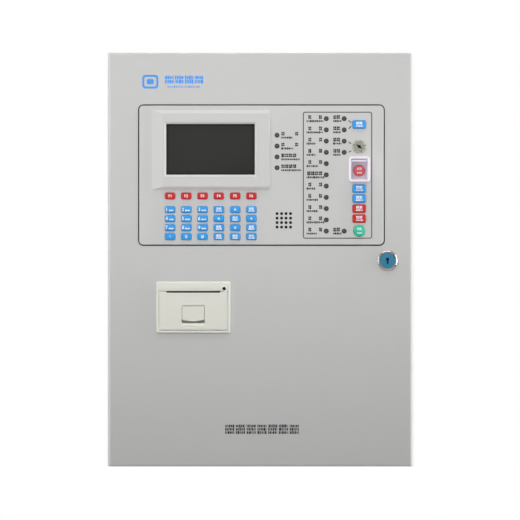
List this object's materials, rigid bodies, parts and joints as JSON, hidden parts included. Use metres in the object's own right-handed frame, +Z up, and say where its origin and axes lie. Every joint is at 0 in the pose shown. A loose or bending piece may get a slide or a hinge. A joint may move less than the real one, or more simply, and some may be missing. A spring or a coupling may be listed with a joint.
{
  "type": "fire alarm control panel",
  "caption": "Wall-mounted steel cabinet with a hinged door that carries a display, a keypad, indicators, a guarded reset button, a key switch and a small printer.",
  "frame": {"origin": "middle of the cabinet's rear face, on the wall", "axes": "+X to the right as seen from the front, +Y into the wall, +Z up; the door faces -Y"},
  "size_m": [0.38, 0.1308, 0.516],
  "materials": {
    "enclosure_paint": "fine textured grey powder coat",
    "panel_plastic": "satin moulded plastic",
    "display": "dark window",
    "lens": "smoked lens",
    "key_red": "satin keycap",
    "key_blue": "satin keycap",
    "key_green": "satin keycap",
    "guard_plastic": "milky moulding",
    "clear_cover": "clear moulding",
    "lock_chrome": "plated",
    "lock_face": "blue enamel",
    "bright_steel": "brushed",
    "printer_plastic": "warm light moulding",
    "roller_rubber": "ground rubber",
    "circuit_board": "solder mask",
    "zinc_plate": "zinc plated",
    "supply_case": "perforated cover",
    "battery_case": "moulded case",
    "grommet_rubber": "moulded rubber",
    "speaker_black": "paper cone and steel basket"
  },
  "bodies": {
    "cabinet": {"cabinet": "enclosure_paint", "mounting_plate": "zinc_plate", "main_board": "circuit_board", "power_supply": "supply_case", "batteries": "battery_case", "cable_grommets": "grommet_rubber", "hinge_pins": "bright_steel", "screws": "bright_steel"},
    "door": {"door": "enclosure_paint", "fascia": "panel_plastic", "display_module": "display", "indicator_lenses": "lens", "control_board": "circuit_board", "speaker": "speaker_black", "printer_frame": "printer_plastic", "reset_guard_frame": "guard_plastic", "lock_barrels": "lock_chrome"},
    "door_lock": {"door_lock_plug": "lock_face"},
    "key_switch": {"key_switch_plug": "bright_steel"},
    "reset_cover": {"reset_guard_cover": "clear_cover"},
    "printer_hatch": {"printer_door": "printer_plastic"},
    "latch": {"printer_latch": "printer_plastic"},
    "platen": {"platen_roller": "roller_rubber"},
    "key_f1": {"key_f1": "key_red"},
    "key_f2": {"key_f2": "key_red"},
    "key_f3": {"key_f3": "key_red"},
    "key_f4": {"key_f4": "key_red"},
    "key_f5": {"key_f5": "key_red"},
    "key_f6": {"key_f6": "key_red"},
    "key_1": {"key_1": "key_blue"},
    "key_2": {"key_2": "key_blue"},
    "key_3": {"key_3": "key_blue"},
    "key_list": {"key_list": "key_blue"},
    "key_up": {"key_up": "key_blue"},
    "key_find": {"key_find": "key_blue"},
    "key_4": {"key_4": "key_blue"},
    "key_5": {"key_5": "key_blue"},
    "key_6": {"key_6": "key_blue"},
    "key_left": {"key_left": "key_blue"},
    "key_select": {"key_select": "key_blue"},
    "key_right": {"key_right": "key_blue"},
    "key_7": {"key_7": "key_blue"},
    "key_8": {"key_8": "key_blue"},
    "key_9": {"key_9": "key_blue"},
    "key_setup": {"key_setup": "key_blue"},
    "key_down": {"key_down": "key_blue"},
    "key_clear": {"key_clear": "key_blue"},
    "key_star": {"key_star": "key_blue"},
    "key_0": {"key_0": "key_blue"},
    "key_hash": {"key_hash": "key_blue"},
    "key_shift": {"key_shift": "key_blue"},
    "key_cancel": {"key_cancel": "key_blue"},
    "key_confirm": {"key_confirm": "key_blue"},
    "button_lamp_test": {"button_lamp_test": "key_blue"},
    "button_mute": {"button_mute": "key_blue"},
    "button_silence": {"button_silence": "key_blue"},
    "button_isolate": {"button_isolate": "key_red"},
    "button_stop": {"button_stop": "key_red"},
    "button_reset": {"button_reset": "key_red"},
    "button_start": {"button_start": "key_green"}
  },
  "joints": [
    {"name": "door_hinge", "type": "hinge", "parent": "cabinet", "child": "door", "pos_m": [-0.185, -0.11, 0], "axis": [0, 0, -1], "range_deg": [0, 110]},
    {"name": "reset_cover_hinge", "type": "hinge", "parent": "door", "child": "reset_cover", "pos_m": [0.1221, -0.1294, 0.1224], "axis": [-1, 0, 0], "range_deg": [0, 105]},
    {"name": "printer_door_hinge", "type": "hinge", "parent": "door", "child": "printer_hatch", "pos_m": [-0.0836, -0.1216, -0.0858], "axis": [1, 0, 0], "range_deg": [0, 90]},
    {"name": "printer_latch_hinge", "type": "hinge", "parent": "printer_hatch", "child": "latch", "pos_m": [-0.0836, -0.1215, -0.0584], "axis": [-1, 0, 0], "range_deg": [0, 30], "stiffness_Nm_per_rad": 0.01, "springref_deg": -11.46},
    {"name": "door_lock_turn", "type": "hinge", "parent": "door", "child": "door_lock", "pos_m": [0.1575, -0.12, -0.0009], "axis": [0, -1, 0], "range_deg": [0, 90]},
    {"name": "key_switch_turn", "type": "hinge", "parent": "door", "child": "key_switch", "pos_m": [0.1223, -0.1208, 0.1403], "axis": [0, 1, 0], "range_deg": [0, 90]},
    {"name": "platen_turn", "type": "hinge", "parent": "printer_hatch", "child": "platen", "pos_m": [-0.0836, -0.1136, -0.0445], "axis": [1, 0, 0], "continuous": true},
    {"name": "key_f1_press", "type": "slide", "parent": "door", "child": "key_f1", "axis": [0, 1, 0], "range_m": [0, 0.0015], "stiffness_N_per_m": 150, "springref_m": -0.002},
    {"name": "key_f2_press", "type": "slide", "parent": "door", "child": "key_f2", "axis": [0, 1, 0], "range_m": [0, 0.0015], "stiffness_N_per_m": 150, "springref_m": -0.002},
    {"name": "key_f3_press", "type": "slide", "parent": "door", "child": "key_f3", "axis": [0, 1, 0], "range_m": [0, 0.0015], "stiffness_N_per_m": 150, "springref_m": -0.002},
    {"name": "key_f4_press", "type": "slide", "parent": "door", "child": "key_f4", "axis": [0, 1, 0], "range_m": [0, 0.0015], "stiffness_N_per_m": 150, "springref_m": -0.002},
    {"name": "key_f5_press", "type": "slide", "parent": "door", "child": "key_f5", "axis": [0, 1, 0], "range_m": [0, 0.0015], "stiffness_N_per_m": 150, "springref_m": -0.002},
    {"name": "key_f6_press", "type": "slide", "parent": "door", "child": "key_f6", "axis": [0, 1, 0], "range_m": [0, 0.0015], "stiffness_N_per_m": 150, "springref_m": -0.002},
    {"name": "key_1_press", "type": "slide", "parent": "door", "child": "key_1", "axis": [0, 1, 0], "range_m": [0, 0.0015], "stiffness_N_per_m": 150, "springref_m": -0.002},
    {"name": "key_2_press", "type": "slide", "parent": "door", "child": "key_2", "axis": [0, 1, 0], "range_m": [0, 0.0015], "stiffness_N_per_m": 150, "springref_m": -0.002},
    {"name": "key_3_press", "type": "slide", "parent": "door", "child": "key_3", "axis": [0, 1, 0], "range_m": [0, 0.0015], "stiffness_N_per_m": 150, "springref_m": -0.002},
    {"name": "key_list_press", "type": "slide", "parent": "door", "child": "key_list", "axis": [0, 1, 0], "range_m": [0, 0.0015], "stiffness_N_per_m": 150, "springref_m": -0.002},
    {"name": "key_up_press", "type": "slide", "parent": "door", "child": "key_up", "axis": [0, 1, 0], "range_m": [0, 0.0015], "stiffness_N_per_m": 150, "springref_m": -0.002},
    {"name": "key_find_press", "type": "slide", "parent": "door", "child": "key_find", "axis": [0, 1, 0], "range_m": [0, 0.0015], "stiffness_N_per_m": 150, "springref_m": -0.002},
    {"name": "key_4_press", "type": "slide", "parent": "door", "child": "key_4", "axis": [0, 1, 0], "range_m": [0, 0.0015], "stiffness_N_per_m": 150, "springref_m": -0.002},
    {"name": "key_5_press", "type": "slide", "parent": "door", "child": "key_5", "axis": [0, 1, 0], "range_m": [0, 0.0015], "stiffness_N_per_m": 150, "springref_m": -0.002},
    {"name": "key_6_press", "type": "slide", "parent": "door", "child": "key_6", "axis": [0, 1, 0], "range_m": [0, 0.0015], "stiffness_N_per_m": 150, "springref_m": -0.002},
    {"name": "key_left_press", "type": "slide", "parent": "door", "child": "key_left", "axis": [0, 1, 0], "range_m": [0, 0.0015], "stiffness_N_per_m": 150, "springref_m": -0.002},
    {"name": "key_select_press", "type": "slide", "parent": "door", "child": "key_select", "axis": [0, 1, 0], "range_m": [0, 0.0015], "stiffness_N_per_m": 150, "springref_m": -0.002},
    {"name": "key_right_press", "type": "slide", "parent": "door", "child": "key_right", "axis": [0, 1, 0], "range_m": [0, 0.0015], "stiffness_N_per_m": 150, "springref_m": -0.002},
    {"name": "key_7_press", "type": "slide", "parent": "door", "child": "key_7", "axis": [0, 1, 0], "range_m": [0, 0.0015], "stiffness_N_per_m": 150, "springref_m": -0.002},
    {"name": "key_8_press", "type": "slide", "parent": "door", "child": "key_8", "axis": [0, 1, 0], "range_m": [0, 0.0015], "stiffness_N_per_m": 150, "springref_m": -0.002},
    {"name": "key_9_press", "type": "slide", "parent": "door", "child": "key_9", "axis": [0, 1, 0], "range_m": [0, 0.0015], "stiffness_N_per_m": 150, "springref_m": -0.002},
    {"name": "key_setup_press", "type": "slide", "parent": "door", "child": "key_setup", "axis": [0, 1, 0], "range_m": [0, 0.0015], "stiffness_N_per_m": 150, "springref_m": -0.002},
    {"name": "key_down_press", "type": "slide", "parent": "door", "child": "key_down", "axis": [0, 1, 0], "range_m": [0, 0.0015], "stiffness_N_per_m": 150, "springref_m": -0.002},
    {"name": "key_clear_press", "type": "slide", "parent": "door", "child": "key_clear", "axis": [0, 1, 0], "range_m": [0, 0.0015], "stiffness_N_per_m": 150, "springref_m": -0.002},
    {"name": "key_star_press", "type": "slide", "parent": "door", "child": "key_star", "axis": [0, 1, 0], "range_m": [0, 0.0015], "stiffness_N_per_m": 150, "springref_m": -0.002},
    {"name": "key_0_press", "type": "slide", "parent": "door", "child": "key_0", "axis": [0, 1, 0], "range_m": [0, 0.0015], "stiffness_N_per_m": 150, "springref_m": -0.002},
    {"name": "key_hash_press", "type": "slide", "parent": "door", "child": "key_hash", "axis": [0, 1, 0], "range_m": [0, 0.0015], "stiffness_N_per_m": 150, "springref_m": -0.002},
    {"name": "key_shift_press", "type": "slide", "parent": "door", "child": "key_shift", "axis": [0, 1, 0], "range_m": [0, 0.0015], "stiffness_N_per_m": 150, "springref_m": -0.002},
    {"name": "key_cancel_press", "type": "slide", "parent": "door", "child": "key_cancel", "axis": [0, 1, 0], "range_m": [0, 0.0015], "stiffness_N_per_m": 150, "springref_m": -0.002},
    {"name": "key_confirm_press", "type": "slide", "parent": "door", "child": "key_confirm", "axis": [0, 1, 0], "range_m": [0, 0.0015], "stiffness_N_per_m": 150, "springref_m": -0.002},
    {"name": "button_lamp_test_press", "type": "slide", "parent": "door", "child": "button_lamp_test", "axis": [0, 1, 0], "range_m": [0, 0.0015], "stiffness_N_per_m": 150, "springref_m": -0.002},
    {"name": "button_mute_press", "type": "slide", "parent": "door", "child": "button_mute", "axis": [0, 1, 0], "range_m": [0, 0.0015], "stiffness_N_per_m": 150, "springref_m": -0.002},
    {"name": "button_silence_press", "type": "slide", "parent": "door", "child": "button_silence", "axis": [0, 1, 0], "range_m": [0, 0.0015], "stiffness_N_per_m": 150, "springref_m": -0.002},
    {"name": "button_isolate_press", "type": "slide", "parent": "door", "child": "button_isolate", "axis": [0, 1, 0], "range_m": [0, 0.0015], "stiffness_N_per_m": 150, "springref_m": -0.002},
    {"name": "button_stop_press", "type": "slide", "parent": "door", "child": "button_stop", "axis": [0, 1, 0], "range_m": [0, 0.0015], "stiffness_N_per_m": 150, "springref_m": -0.002},
    {"name": "button_reset_press", "type": "slide", "parent": "door", "child": "button_reset", "axis": [0, 1, 0], "range_m": [0, 0.0015], "stiffness_N_per_m": 150, "springref_m": -0.002},
    {"name": "button_start_press", "type": "slide", "parent": "door", "child": "button_start", "axis": [0, 1, 0], "range_m": [0, 0.0015], "stiffness_N_per_m": 150, "springref_m": -0.002}
  ]
}
